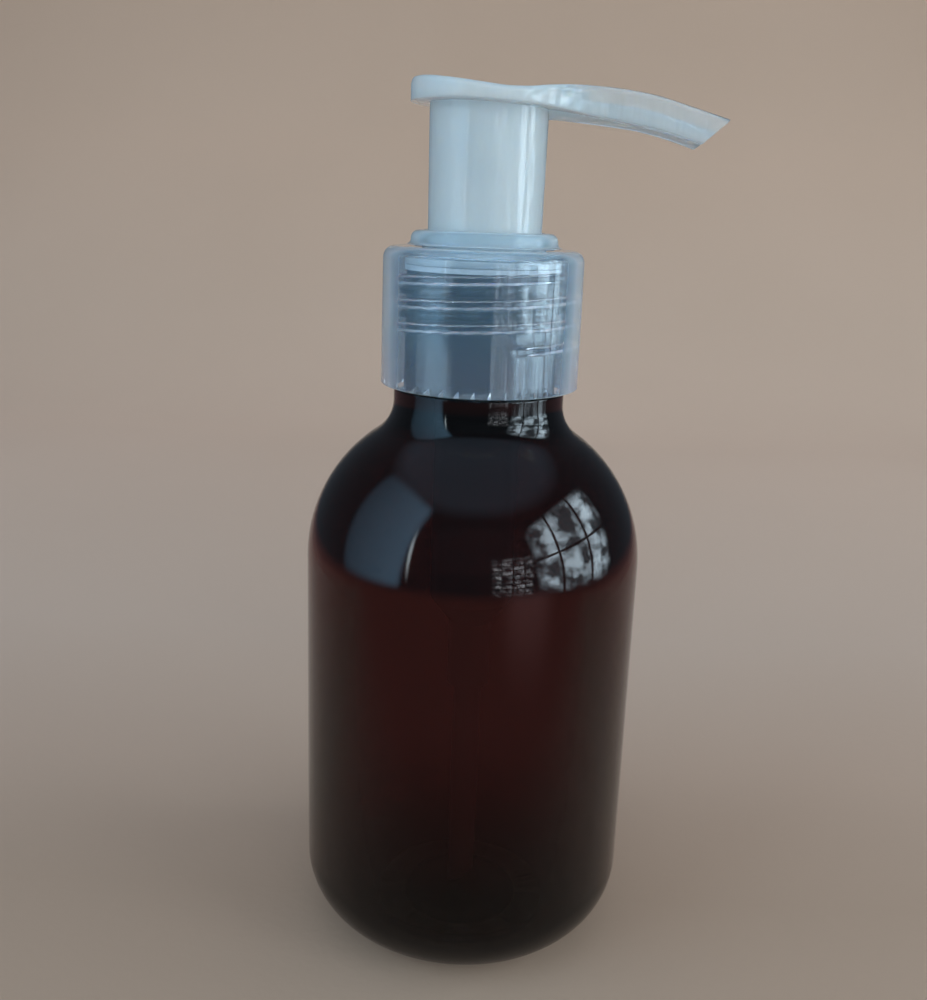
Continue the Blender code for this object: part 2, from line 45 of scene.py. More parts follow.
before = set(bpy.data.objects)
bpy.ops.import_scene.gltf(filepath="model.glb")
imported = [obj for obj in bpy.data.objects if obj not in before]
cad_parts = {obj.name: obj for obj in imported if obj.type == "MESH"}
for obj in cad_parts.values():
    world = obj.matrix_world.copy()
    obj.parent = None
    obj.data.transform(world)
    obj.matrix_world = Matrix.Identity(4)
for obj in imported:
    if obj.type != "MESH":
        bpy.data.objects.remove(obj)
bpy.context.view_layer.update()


def top_of(node):
    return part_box(node)[1].z / MM


def foot_of(node):
    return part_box(node)[0].z / MM


def radius_of(node):
    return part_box(node)[1].y / MM


# ---- driving sizes ------------------------------------------------------------
BODY_R = radius_of("bottle")
BODY_WALL = 1.1
HEEL_R = 13.0
HEEL_SQUASH = 0.97
STRAIGHT_TOP = 68.8
BODY_ROWS_Z = (24.0, 36.0, 48.0, 60.0)
SHOULDER_R = 26.2
NECK_FILLET_R = 6.7
NECK_R = 14.3
NECK_LEDGE_Z = 98.4
FINISH_R = 12.6
FINISH_TOP = top_of("bottle")
BORE_R = 11.0
BORE_FOOT_Z = 94.6
INNER_SHOULDER_TURN = 57  # degrees of the shoulder's arc that the inner wall follows
BASE_CENTRE_R = 9.0
BASE_RAISE = 0.5
STAND_R = 10.4
BASE_WALL = 1.6

PITCH = 3.63
NECK_THREAD_CREST = 13.7
NECK_THREAD_START = 37.5
NECK_THREAD_TURNS = 1.75
CAP_THREAD_CREST = 13.05
CAP_THREAD_LOW = 105.9
CAP_THREAD_START = -75.0
CAP_THREAD_TURNS = 3.125
RIDGE_HALF_ROOT = 0.72
RIDGE_HALF_CREST = 0.36
FADE_TURNS = 0.12

CAP_R = radius_of("closure")
CAP_R_TOP = CAP_R - 0.08
CAP_BOTTOM = foot_of("closure")
CAP_TOP = top_of("closure")
CAP_EDGE_R = 1.9
CAP_INNER_R = 14.3
CAP_PLATE_Z = 119.6
CAP_HOLE_R = 11.3
NOTCH_COUNT = 38          # short radial notches in the closure's lower rim
NOTCH_OUTER_R = 15.9
NOTCH_INNER_DEPTH = 1.2
NOTCH_OUTER_DEPTH = 0.15
NOTCH_WIDTH = 0.42
NOTCH_LEAN = 2.5
NOTCH_ROOF = 0.25         # width of a notch's roof as a share of its foot

COLLAR_R = 12.0
COLLAR_TOP = top_of("collar")
COLLAR_BOTTOM = 121.35
COLLAR_EDGE_R = 1.4
COLLAR_FOOT_R = radius_of("collar")
BARREL_OUT = 10.12
BARREL_IN = 9.62
BARREL_FLOOR = foot_of("collar")
BARREL_WALL = 1.0         # thickness of the barrel's floor
GUIDE_OUT = 4.1
GUIDE_IN = 3.0
GUIDE_TOP = 114.0

SLEEVE_R_LOW = 9.24
SLEEVE_R_HIGH = 9.45
SLEEVE_WALL = 0.9
SLEEVE_BOTTOM = foot_of("head")
PAD_R = 12.45
PAD_FILLET_R = 14.0
SPOUT_HALF_W = 4.2
SPOUT_TIP_HALF_W = 3.1
SPOUT_END = 37.4
CROWN = 0.35
DISH = 0.6
TOP_EDGE_R = 0.9
FOOT_EDGE_R = 0.35
DISH_END_X = 12.0         # where the dish of the pad has turned into the crown of the spout
DISH_FADE = 10.0
CHANNEL_OUT = 2.2
CHANNEL_IN = 1.25
END_POINT = (35.2, 139.75)       # (x, z) on the slanting face at the spout's end
END_NORMAL = (0.667, -0.745)
HEAD_STATIONS = (         # (x, top, underside) from the back of the pad to past the spout's end
    (-12.7, 146.45, 143.1), (-10.0, 146.4, 143.05), (-4.0, 145.6, 142.85), (2.0, 144.9, 142.6),
    (6.0, 145.0, 142.5), (9.5, 145.6, 142.4), (12.5, 145.95, 142.1), (17.0, 145.95, 141.4),
    (21.0, 145.65, 140.8), (26.0, 144.9, 139.9), (31.0, 143.6, 138.7), (35.0, 142.5, 137.6),
    (39.5, 141.2, 136.3),
)
CHANNEL_PATH = (          # (x, z) of the middle of the oil's way out
    (2.5, 141.7), (6.0, 142.5), (9.0, 143.2), (12.5, 143.1), (20.0, 142.4), (24.0, 141.9),
    (28.0, 141.0), (31.0, 140.15), (34.0, 139.2), (38.0, 137.9),
)
HEAD_SOCKET_OUT = 4.5
HEAD_SOCKET_IN = 2.95
HEAD_SOCKET_BOTTOM = 133.0
HEAD_ROOT_Z = 143.9
STEM_BORE_TOP = 142.2
HEAD_STEP = 0.7           # spacing of the sections along the spout
HEAD_LAST_X = 39.0        # past the spout's end, which is then cut off at a slant

# ---- inner pump ---------------------------------------------------------------
GASKET_IN = 11.2
GASKET_OUT = radius_of("gasket")
FLANGE_OUT = 12.85
FLANGE_Z = (118.3, 119.4)
WELL_OUT = 10.85
WELL_IN = 10.25
WELL_FLOOR = 100.3
CYL_OUT = 7.2
CYL_IN = 6.4
CYL_FLOOR = 61.4
CAGE_R = 2.3
SEAT_HOLE_R = 1.2
SEAT_APEX = 56.0
SOCKET_OUT = 3.7
SOCKET_IN = 2.55
SOCKET_BOTTOM = 44.5
STEM_OUT = 2.8
STEM_IN = 1.6
STEM_TOP = top_of("stem")
STEM_BOTTOM = foot_of("stem")
PORT_R = 0.7
PORT_Z = 96.0
PISTON_R = 6.32
PISTON_IN = 3.0
PISTON_HUB_R = 4.3
PISTON_WEB_R = 5.0
PISTON_WAIST_R = 5.7
PISTON_LIP = 0.9
PISTON_GROOVE = 1.2
SEAT_FLANGE_R = 4.9
SEAT_FLANGE_Z = (92.3, 93.8)
SPRING_R = 4.3
SPRING_WIRE_R = 0.42
SPRING_COILS = 8
SPRING_GAP = 0.12
RETAINER_Z = (61.7, 63.3)
RETAINER_R = 6.1
RETAINER_HOLE_R = 1.0
RETAINER_RIM_R = 5.1
RETAINER_STEP = 0.7
RETAINER_SLOT_R = 0.75
RETAINER_SLOT_AT = 2.6
BALL_R = 1.7
BALL_CLEARANCE = 0.08
TUBE_OUT = radius_of("dip_tube")
TUBE_IN = 1.7
TUBE_TOP = top_of("dip_tube")
TUBE_BOTTOM = foot_of("dip_tube")
TUBE_CUT_RISE = 3.4

WELD = 1e-7       # metres; points nearer than this are one point
FINE = 144        # facets round a large piece
SMALL = 64        # facets round a small one


# ---- mesh helpers -----------------------------------------------------------
def weld(mesh):
    """Joins points that lie on each other, so that no face is left without an area."""
    work = bmesh.new()
    work.from_mesh(mesh)
    bmesh.ops.remove_doubles(work, verts=work.verts, dist=WELD)
    bmesh.ops.recalc_face_normals(work, faces=work.faces)
    work.to_mesh(mesh)
    work.free()


def make_object(name, points, faces, smooth_angle=35):
    mesh = bpy.data.meshes.new(name)
    mesh.from_pydata([tuple(c * MM for c in p) for p in points], [], faces)
    weld(mesh)
    mesh.shade_smooth()
    mesh.set_sharp_from_angle(angle=math.radians(smooth_angle))
    obj = bpy.data.objects.new(name, mesh)
    bpy.context.scene.collection.objects.link(obj)
    return obj


def lathe(name, loop, segments=FINE, smooth_angle=35):
    """Turns a closed loop of (radius, height[, field]) about Z.

    A field is a function of (angle, height) whose value is added to the radius.
    """
    points = []
    rings = []
    for r, z, *field in loop:
        if r == 0.0:
            rings.append([len(points)] * segments)
            points.append((0.0, 0.0, z))
            continue
        rings.append([len(points) + i for i in range(segments)])
        for i in range(segments):
            a = 2 * math.pi * i / segments
            here = r + (field[0](a, z) if field else 0.0)
            points.append((here * math.cos(a), here * math.sin(a), z))
    faces = []
    for k, ring in enumerate(rings):
        above = rings[(k + 1) % len(rings)]
        for i in range(segments):
            j = (i + 1) % segments
            distinct = list(dict.fromkeys([ring[i], ring[j], above[j], above[i]]))
            if len(distinct) > 2:
                faces.append(distinct)
    return make_object(name, points, faces, smooth_angle)


def arc(cx, cz, radius, start, end, steps, squash=1.0):
    out = []
    for i in range(steps + 1):
        a = math.radians(start + (end - start) * i / steps)
        out.append((cx + radius * math.cos(a), cz + squash * radius * math.sin(a)))
    return out


def wall(r, z_from, z_to, step, field):
    """Rows of a cylindrical wall that carries a relief."""
    rows = max(2, round(abs(z_to - z_from) / step))
    return [(r, z_from + (z_to - z_from) * i / rows, field) for i in range(rows + 1)]


def sweep(name, rings, smooth_angle=35):
    count = len(rings[0])
    points = [p for ring in rings for p in ring]
    faces = []
    for k in range(len(rings) - 1):
        a, b = k * count, (k + 1) * count
        for i in range(count):
            j = (i + 1) % count
            faces.append((a + i, a + j, b + j, b + i))
    faces.append(tuple(range(count)))
    faces.append(tuple(range(len(points) - count, len(points))))
    return make_object(name, points, faces, smooth_angle)


def tube_rings(path, radius, count):
    rings = []
    for k, (x, z) in enumerate(path):
        x0, z0 = path[max(k - 1, 0)]
        x1, z1 = path[min(k + 1, len(path) - 1)]
        length = math.hypot(x1 - x0, z1 - z0)
        nx, nz = -(z1 - z0) / length, (x1 - x0) / length
        ring = []
        for i in range(count):
            a = 2 * math.pi * (i + 0.5) / count
            up, side = radius * math.sin(a), radius * math.cos(a)
            ring.append((x + nx * up, side, z + nz * up))
        rings.append(ring)
    return rings


def smooth_path(points, per_span):
    """Catmull-Rom points through a path in the XZ plane."""
    out = []
    for k in range(len(points) - 1):
        p0, p1 = points[max(k - 1, 0)], points[k]
        p2, p3 = points[k + 1], points[min(k + 2, len(points) - 1)]
        for i in range(per_span):
            t = i / per_span
            out.append(tuple(
                0.5 * (2 * b + (c - a) * t + (2 * a - 5 * b + 4 * c - d) * t * t
                       + (3 * b - a - 3 * c + d) * t**3)
                for a, b, c, d in zip(p0, p1, p2, p3)
            ))
    out.append(points[-1])
    return out


def apply_boolean(target, other, operation):
    mod = target.modifiers.new(operation, "BOOLEAN")
    mod.operation = operation
    mod.solver = "EXACT"
    mod.object = other
    bpy.context.view_layer.update()
    evaluated = target.evaluated_get(bpy.context.evaluated_depsgraph_get())
    mesh = bpy.data.meshes.new_from_object(evaluated)
    weld(mesh)
    target.modifiers.clear()
    target.data = mesh
    bpy.data.objects.remove(other)


def smoothstep(x):
    x = min(max(x, 0.0), 1.0)
    return x * x * (3 - 2 * x)


def thread_relief(height, low, start_deg, turns):
    """Radial relief of a helical ridge, for lathe(): positive heights stand out, negative inwards."""
    def relief(angle, z):
        share = ((math.degrees(angle) - start_deg) / 360) % 1.0
        t = share + round((z - low) / PITCH - share)
        if t < 0 or t > turns:
            return 0.0
        off = abs(z - low - PITCH * t)
        fade = smoothstep(min(t, turns - t) / FADE_TURNS)
        return height * fade * smoothstep((RIDGE_HALF_ROOT - off) / (RIDGE_HALF_ROOT - RIDGE_HALF_CREST))
    return relief


# ---- materials --------------------------------------------------------------
class Nodes:
    """A short way to write a material's node tree. Its coordinates are the object's, in metres."""

    def __init__(self, name):
        self.mat = bpy.data.materials.new(name)
        self.mat.use_nodes = True
        self.tree = self.mat.node_tree
        self.shader = self.tree.nodes["Principled BSDF"]
        self.out = self.tree.nodes["Material Output"]
        self.coords = self.add("ShaderNodeTexCoord").outputs["Object"]

    def add(self, kind, **settings):
        node = self.tree.nodes.new(kind)
        for key, value in settings.items():
            setattr(node, key, value)
        return node

    def link(self, source, target):
        self.tree.links.new(source, target)

    def noise(self, scale, detail=3.0, roughness=0.5, stretch=None):
        node = self.add("ShaderNodeTexNoise")
        node.inputs["Scale"].default_value = scale
        node.inputs["Detail"].default_value = detail
        node.inputs["Roughness"].default_value = roughness
        source = self.coords
        if stretch:
            mapping = self.add("ShaderNodeMapping")
            mapping.inputs["Scale"].default_value = stretch
            self.link(source, mapping.inputs["Vector"])
            source = mapping.outputs["Vector"]
        self.link(source, node.inputs["Vector"])
        return node.outputs["Fac"]

    def ramp(self, source, *stops):
        node = self.add("ShaderNodeValToRGB")
        ends = node.color_ramp.elements
        while len(ends) < len(stops):
            ends.new(0.5)
        for end, (place, value) in zip(ends, stops):
            end.position = place
            end.color = value if len(value) == 4 else (*value, 1.0)
        self.link(source, node.inputs["Fac"])
        return node.outputs["Color"]

    def bump(self, source, strength, distance):
        node = self.add("ShaderNodeBump")
        node.inputs["Strength"].default_value = strength
        node.inputs["Distance"].default_value = distance
        self.link(source, node.inputs["Height"])
        return node.outputs["Normal"]

    def set(self, **values):
        for key, value in values.items():
            socket = self.shader.inputs[key.replace("_", " ")]
            socket.default_value = value


def grey(value):
    return (value, value, value)


def amber_material():
    """Dark amber PET: coloured through its thickness, glossy, with faint waviness from blowing."""
    n = Nodes("amber_pet")
    tint = n.ramp(n.noise(22.0), (0.3, (0.92, 0.90, 0.90)), (0.7, (1.0, 0.98, 0.98)))
    n.link(tint, n.shader.inputs["Base Color"])
    n.set(IOR=1.57, Transmission_Weight=1.0)
    rough = n.ramp(n.noise(340.0, 4.0), (0.35, grey(0.02)), (0.75, grey(0.05)))
    n.link(rough, n.shader.inputs["Roughness"])
    waves = n.noise(38.0, 2.0, 0.4, stretch=(1.0, 1.0, 0.45))
    n.link(n.bump(waves, 0.10, 0.0008), n.shader.inputs["Normal"])
    depth = n.add("ShaderNodeVolumeAbsorption")
    depth.inputs["Color"].default_value = (0.40, 0.09, 0.05, 1.0)
    depth.inputs["Density"].default_value = 2750.0
    n.link(depth.outputs[0], n.out.inputs["Volume"])
    return n.mat


def haze_by_angle(n, straight, slanting):
    """Milkiness where the wall is looked at squarely, and where the look runs along it."""
    facing = n.add("ShaderNodeLayerWeight").outputs["Facing"]
    return n.ramp(facing, (0.40, grey(straight)), (0.62, grey(slanting)))


def haze_along_spout(n, pad, spout):
    """Milkiness of the thick pad and sleeve, and of the thinner spout."""
    split = n.add("ShaderNodeSeparateXYZ")
    n.link(n.coords, split.inputs[0])
    return n.ramp(split.outputs["X"], (0.0085, grey(pad)), (0.017, grey(spout)))


def natural_material(name, haze, haze_colour, edge_colour, roughness, ripple, lamp_share):
    """Natural polypropylene: see-through with a cool milky haze and faint flow lines.

    haze is a function and its two values. The haze is paler where the look runs along the
    wall. ripple is the scale and the strength of the upright flow lines, and lamp_share is how
    much of the lamps' light passes straight on to what is inside.
    """
    n = Nodes(name)
    tint = n.ramp(n.noise(60.0, 3.0), (0.3, (0.90, 0.95, 0.98)), (0.75, (0.95, 0.98, 1.0)))
    n.link(tint, n.shader.inputs["Base Color"])
    n.set(IOR=1.49, Transmission_Weight=1.0)
    rough = n.ramp(n.noise(260.0, 3.0), (0.3, grey(roughness * 0.8)), (0.75, grey(roughness * 1.25)))
    n.link(rough, n.shader.inputs["Roughness"])
    ripple_scale, ripple_strength = ripple
    flow = n.noise(ripple_scale, 2.0, 0.5, stretch=(1.0, 1.0, 0.25))
    normal = n.bump(flow, ripple_strength, 0.0003)
    n.link(normal, n.shader.inputs["Normal"])

    milk = n.add("ShaderNodeBsdfPrincipled")
    facing = n.add("ShaderNodeLayerWeight").outputs["Facing"]
    depth = n.ramp(facing, (0.40, haze_colour), (0.66, edge_colour))
    shade = n.add("ShaderNodeMix", data_type="RGBA", blend_type="MULTIPLY")
    shade.inputs["Factor"].default_value = 1.0
    n.link(depth, shade.inputs["A"])
    n.link(n.ramp(n.noise(75.0, 3.0), (0.3, grey(0.94)), (0.75, grey(1.0))), shade.inputs["B"])
    n.link(shade.outputs["Result"], milk.inputs["Base Color"])
    n.link(rough, milk.inputs["Roughness"])
    n.link(normal, milk.inputs["Normal"])
    milk.inputs["Subsurface Weight"].default_value = 0.8
    milk.inputs["Subsurface Radius"].default_value = (0.8, 0.9, 1.0)
    milk.inputs["Subsurface Scale"].default_value = 0.003
    milk.inputs["IOR"].default_value = 1.49
    cloudy = n.add("ShaderNodeMixShader")
    spread, *values = haze
    n.link(spread(n, *values), cloudy.inputs[0])
    n.link(n.shader.outputs[0], cloudy.inputs[1])
    n.link(milk.outputs[0], cloudy.inputs[2])

    path = n.add("ShaderNodeLightPath")
    share = n.add("ShaderNodeMath", operation="MULTIPLY")
    n.link(path.outputs["Is Shadow Ray"], share.inputs[0])
    share.inputs[1].default_value = lamp_share
    clear = n.add("ShaderNodeBsdfTransparent")
    mix = n.add("ShaderNodeMixShader")
    n.link(share.outputs[0], mix.inputs[0])
    n.link(cloudy.outputs[0], mix.inputs[1])
    n.link(clear.outputs[0], mix.inputs[2])
    n.link(mix.outputs[0], n.out.inputs["Surface"])
    return n.mat


def white_material():
    n = Nodes("white_moulding")
    tint = n.ramp(n.noise(90.0), (0.3, (0.78, 0.79, 0.78)), (0.7, (0.86, 0.87, 0.86)))
    n.link(tint, n.shader.inputs["Base Color"])
    n.set(Roughness=0.4)
    n.link(n.bump(n.noise(600.0, 2.0), 0.15, 0.0001), n.shader.inputs["Normal"])
    return n.mat


def foam_material():
    n = Nodes("seal_foam")
    tint = n.ramp(n.noise(900.0, 4.0), (0.35, (0.56, 0.60, 0.62)), (0.7, (0.68, 0.72, 0.74)))
    n.link(tint, n.shader.inputs["Base Color"])
    n.set(Roughness=0.85)
    n.link(n.bump(n.noise(1500.0, 2.0), 0.5, 0.0002), n.shader.inputs["Normal"])
    return n.mat


def steel_material():
    n = Nodes("drawn_steel")
    tint = n.ramp(n.noise(400.0, 3.0), (0.3, (0.50, 0.50, 0.51)), (0.7, (0.66, 0.66, 0.67)))
    n.link(tint, n.shader.inputs["Base Color"])
    n.set(Metallic=1.0)
    rough = n.ramp(n.noise(700.0, 2.0), (0.3, grey(0.2)), (0.7, grey(0.35)))
    n.link(rough, n.shader.inputs["Roughness"])
    return n.mat


def paper_material():
    """Warm matt paper with painted light and shade: darker towards the camera, lighter and cooler where
    the floor begins to turn up, darker again up the backdrop. A mirror image of it fades out to the sides
    and towards the camera.
    """
    n = Nodes("backdrop_paper")
    split = n.add("ShaderNodeSeparateXYZ")
    n.link(n.coords, split.inputs[0])
    tint = n.ramp(n.noise(3.0, 4.0), (0.3, (0.60, 0.41, 0.295)), (0.7, (0.64, 0.44, 0.32)))
    # painted light and shade along Y: the paper is darker in front of the bottle, a lighter, cooler pool
    # where the floor turns up, and darker up the backdrop
    painted_light_and_shade = n.add("ShaderNodeMix", data_type="RGBA", blend_type="MULTIPLY")
    painted_light_and_shade.inputs["Factor"].default_value = 1.0
    depth = n.ramp(
        split.outputs["Y"], (0.0, (0.75, 0.73, 0.71)), (0.05, (0.88, 0.87, 0.88)),
        (0.13, (0.94, 0.97, 1.02)), (0.43, (1.09, 1.12, 1.16)), (0.62, (0.96, 0.98, 1.0)),
        (0.74, grey(0.90)), (0.79, (0.82, 0.83, 0.83)),
    )
    n.link(tint, painted_light_and_shade.inputs["A"])
    n.link(depth, painted_light_and_shade.inputs["B"])
    n.link(painted_light_and_shade.outputs["Result"], n.shader.inputs["Base Color"])
    n.set(Roughness=0.9)
    n.link(n.bump(n.noise(500.0, 5.0), 0.25, 0.0002), n.shader.inputs["Normal"])
    away = n.add("ShaderNodeMapRange", interpolation_type="SMOOTHSTEP")
    n.link(split.outputs["Y"], away.inputs["Value"])
    away.inputs["From Min"].default_value = 0.03
    away.inputs["From Max"].default_value = -0.10
    width = n.add("ShaderNodeMath", operation="ABSOLUTE")
    n.link(split.outputs["X"], width.inputs[0])
    beside = n.add("ShaderNodeMapRange", interpolation_type="SMOOTHSTEP")
    n.link(width.outputs[0], beside.inputs["Value"])
    beside.inputs["From Min"].default_value = 0.04
    beside.inputs["From Max"].default_value = 0.36
    hidden = n.add("ShaderNodeMath", operation="MAXIMUM")
    n.link(away.outputs["Result"], hidden.inputs[0])
    n.link(beside.outputs["Result"], hidden.inputs[1])
    path = n.add("ShaderNodeLightPath")
    share = n.add("ShaderNodeMath", operation="MULTIPLY")
    n.link(path.outputs["Is Glossy Ray"], share.inputs[0])
    n.link(hidden.outputs[0], share.inputs[1])
    gone = n.add("ShaderNodeBsdfTransparent")
    mix = n.add("ShaderNodeMixShader")
    n.link(share.outputs[0], mix.inputs[0])
    n.link(n.shader.outputs[0], mix.inputs[1])
    n.link(gone.outputs[0], mix.inputs[2])
    n.link(mix.outputs[0], n.out.inputs["Surface"])
    return n.mat


# ---- bottle -------------------------------------------------------------------
def bottle_loop():
    centre_r = BODY_R - SHOULDER_R
    reach = SHOULDER_R + NECK_FILLET_R
    fillet_x = NECK_R + NECK_FILLET_R
    fillet_z = STRAIGHT_TOP + math.sqrt(reach**2 - (fillet_x - centre_r) ** 2)
    turn = math.degrees(math.acos((fillet_x - centre_r) / reach))

    ahead = (NECK_THREAD_START - CAP_THREAD_START) / 360
    low = CAP_THREAD_LOW + PITCH * (ahead + 0.5)
    relief = thread_relief(NECK_THREAD_CREST - FINISH_R, low, NECK_THREAD_START, NECK_THREAD_TURNS)

    loop = [(0.0, BASE_RAISE), (BASE_CENTRE_R - 0.4, BASE_RAISE), (BASE_CENTRE_R, BASE_RAISE - 0.03)]
    loop += [(STAND_R - 0.4, 0.06), (STAND_R, 0.0)]
    loop += arc(BODY_R - HEEL_R, HEEL_R * HEEL_SQUASH, HEEL_R, -90, 0, 18, HEEL_SQUASH)
    loop += [(BODY_R, z) for z in BODY_ROWS_Z]
    loop += arc(centre_r, STRAIGHT_TOP, SHOULDER_R, 0, turn, 22)
    loop += arc(fillet_x, fillet_z, NECK_FILLET_R, 180 + turn, 180, 12)[1:]
    loop += [(NECK_R, NECK_LEDGE_Z - 0.5)]
    loop += arc(NECK_R - 0.4, NECK_LEDGE_Z - 0.4, 0.4, 0, 90, 3)
    loop += [(FINISH_R + 0.3, NECK_LEDGE_Z), (FINISH_R, NECK_LEDGE_Z + 0.3)]
    loop += wall(FINISH_R, NECK_LEDGE_Z + 0.5, FINISH_TOP - 0.5, 0.2, relief)
    loop += arc(FINISH_R - 0.4, FINISH_TOP - 0.4, 0.4, 0, 90, 3)
    loop += arc(BORE_R + 0.3, FINISH_TOP - 0.3, 0.3, 90, 180, 3)
    loop += [(BORE_R, 104.0), (BORE_R, BORE_FOOT_Z)]
    loop += arc(centre_r, STRAIGHT_TOP, SHOULDER_R - BODY_WALL, INNER_SHOULDER_TURN, 0, 14)
    inner_heel = HEEL_R - BODY_WALL
    floor = BASE_RAISE + BASE_WALL
    loop += arc(BODY_R - BODY_WALL - inner_heel, floor - 0.3 + inner_heel, inner_heel, 0, -90, 12)
    loop += [(STAND_R, floor - 0.3), (BASE_CENTRE_R - 1.0, floor), (0.0, floor)]
    return loop


def build_bottle(mat):
    bottle = lathe("bottle_shell", bottle_loop(), FINE, 50)
    return finish_piece(bottle, mat, "bottle", "amber", "bottle")


def finish_piece(obj, mat, body, slot, *nodes):
    obj.data.materials.clear()
    obj.data.materials.append(mat)
    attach(obj, body)
    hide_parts(*nodes)
    return obj


# ---- closure --------------------------------------------------------------------
def notch_cutter():
    """Wedges that cut the short radial notches into the closure's lower rim, as one mesh."""
    points = []
    faces = []
    half = NOTCH_WIDTH / 2
    low = CAP_BOTTOM - 0.3
    ends = (
        (CAP_INNER_R - 0.3, math.radians(NOTCH_LEAN), NOTCH_INNER_DEPTH),
        (NOTCH_OUTER_R, 0.0, NOTCH_OUTER_DEPTH),
    )
    for k in range(NOTCH_COUNT):
        base = len(points)
        for r, lean, depth in ends:
            a = 2 * math.pi * k / NOTCH_COUNT + lean
            high = CAP_BOTTOM + depth
            corners = ((-half, low), (half, low), (half * NOTCH_ROOF, high), (-half * NOTCH_ROOF, high))
            for side, z in corners:
                x = r * math.cos(a) - side * math.sin(a)
                y = r * math.sin(a) + side * math.cos(a)
                points.append((x, y, z))
        for i in range(4):
            j = (i + 1) % 4
            faces.append((base + i, base + j, base + 4 + j, base + 4 + i))
        faces.append(tuple(base + i for i in range(4)))
        faces.append(tuple(base + 4 + i for i in range(4)))
    return make_object("notches", points, faces)


def build_closure(mat):
    relief = thread_relief(CAP_THREAD_CREST - CAP_INNER_R, CAP_THREAD_LOW, CAP_THREAD_START,
                           CAP_THREAD_TURNS)
    edge = CAP_EDGE_R
    loop = arc(CAP_R - 0.3, CAP_BOTTOM + 0.3, 0.3, -90, 0, 4)
    loop += [(CAP_R - 0.03, 110.0)]
    loop += arc(CAP_R_TOP - edge, CAP_TOP - edge, edge, 0, 90, 10)
    loop += arc(CAP_HOLE_R + 0.2, CAP_TOP - 0.2, 0.2, 90, 180, 3)
    loop += [(CAP_HOLE_R, CAP_PLATE_Z)]
    loop += arc(CAP_INNER_R - 0.4, CAP_PLATE_Z - 0.4, 0.4, 90, 0, 4)
    loop += wall(CAP_INNER_R, CAP_PLATE_Z - 0.5, 103.0, 0.13, relief)
    loop += [(CAP_INNER_R, 101.0), (CAP_INNER_R, CAP_BOTTOM + 0.6)]
    loop += arc(CAP_INNER_R + 0.4, CAP_BOTTOM + 0.4, 0.4, 180, 270, 3)
    closure = lathe("closure_shell", loop, 160, 50)
    apply_boolean(closure, notch_cutter(), "DIFFERENCE")
    closure.data.shade_smooth()
    closure.data.set_sharp_from_angle(angle=math.radians(50))
    return finish_piece(closure, mat, "closure", "natural", "closure")


# ---- collar and the pump's inner pieces ---------------------------------------
def build_collar(mat):
    edge = COLLAR_EDGE_R
    foot = COLLAR_FOOT_R - COLLAR_R
    loop = [(COLLAR_FOOT_R - 0.12, COLLAR_BOTTOM), (COLLAR_FOOT_R, COLLAR_BOTTOM + 0.1)]
    loop += arc(COLLAR_FOOT_R, COLLAR_BOTTOM + 0.1 + foot, foot, 270, 180, 6)
    loop += arc(COLLAR_R - edge, COLLAR_TOP - edge, edge, 0, 90, 8)
    loop += arc(BARREL_IN + 0.5, COLLAR_TOP - 0.5, 0.5, 90, 180, 5)
    floor = BARREL_FLOOR + BARREL_WALL
    loop += [
        (BARREL_IN, floor + 0.3), (BARREL_IN - 0.3, floor), (GUIDE_OUT, floor),
        (GUIDE_OUT, GUIDE_TOP - 0.2), (GUIDE_OUT - 0.2, GUIDE_TOP), (GUIDE_IN + 0.3, GUIDE_TOP),
        (GUIDE_IN, GUIDE_TOP - 0.3), (GUIDE_IN, BARREL_FLOOR), (BARREL_OUT - 0.5, BARREL_FLOOR),
        (BARREL_OUT, BARREL_FLOOR + 0.5), (BARREL_OUT, COLLAR_BOTTOM),
    ]
    collar = lathe("collar_ring", loop, 128)
    return finish_piece(collar, mat, "pump", "natural", "collar")


# ---- press head -----------------------------------------------------------------
def interpolate(x, column):
    table = HEAD_STATIONS
    k = 0
    while k < len(table) - 2 and x > table[k + 1][0]:
        k += 1
    p0, p1 = table[max(k - 1, 0)], table[k]
    p2, p3 = table[k + 1], table[min(k + 2, len(table) - 1)]
    span = p2[0] - p1[0]
    t = min(max((x - p1[0]) / span, 0.0), 1.0)
    m1 = (p2[column] - p0[column]) / (p2[0] - p0[0]) * span
    m2 = (p3[column] - p1[column]) / (p3[0] - p1[0]) * span
    a = 2 * p1[column] - 2 * p2[column] + m1 + m2
    b = -3 * p1[column] + 3 * p2[column] - 2 * m1 - m2
    return ((a * t + b) * t + m1) * t + p1[column]


def half_width(x):
    reach = PAD_R + PAD_FILLET_R
    drop = SPOUT_HALF_W + PAD_FILLET_R
    fillet_x = math.sqrt(reach**2 - drop**2)
    touch = fillet_x * PAD_R / reach
    if x < touch:
        return math.sqrt(max(PAD_R**2 - x * x, 0.0))
    if x < fillet_x:
        return drop - math.sqrt(PAD_FILLET_R**2 - (x - fillet_x) ** 2)
    share = (x - fillet_x) / (SPOUT_END - fillet_x)
    return SPOUT_HALF_W + (SPOUT_TIP_HALF_W - SPOUT_HALF_W) * share


def back_rounding(x):
    """How far the rounded rim drops the top at the very back of the pad."""
    past = min(max(TOP_EDGE_R - PAD_R - x, 0.0), TOP_EDGE_R)
    return TOP_EDGE_R - math.sqrt(TOP_EDGE_R**2 - past**2)


def head_section(x):
    w = max(half_width(x), 0.5)
    top = interpolate(x, 1) - back_rounding(x)
    low = interpolate(x, 2)
    edge = min(TOP_EDGE_R, w * 0.4)
    foot = min(FOOT_EDGE_R, w * 0.2)
    pad_share = smoothstep((DISH_END_X - x) / DISH_FADE)
    middle = CROWN * (1 - pad_share) - DISH * pad_share * min(1.0, (w / PAD_R) ** 2)
    side = arc(w - foot, low + foot, foot, -90, 0, 3)
    side += arc(w - edge, top - edge, edge, 0, 90, 6)
    flat = w - edge
    side += [(flat * s, top + middle * (1 - s * s)) for s in (0.8, 0.6, 0.4, 0.2)]
    loop = side + [(0.0, top + middle)] + [(-y, z) for y, z in reversed(side)]
    return [(x, y, z) for y, z in loop]


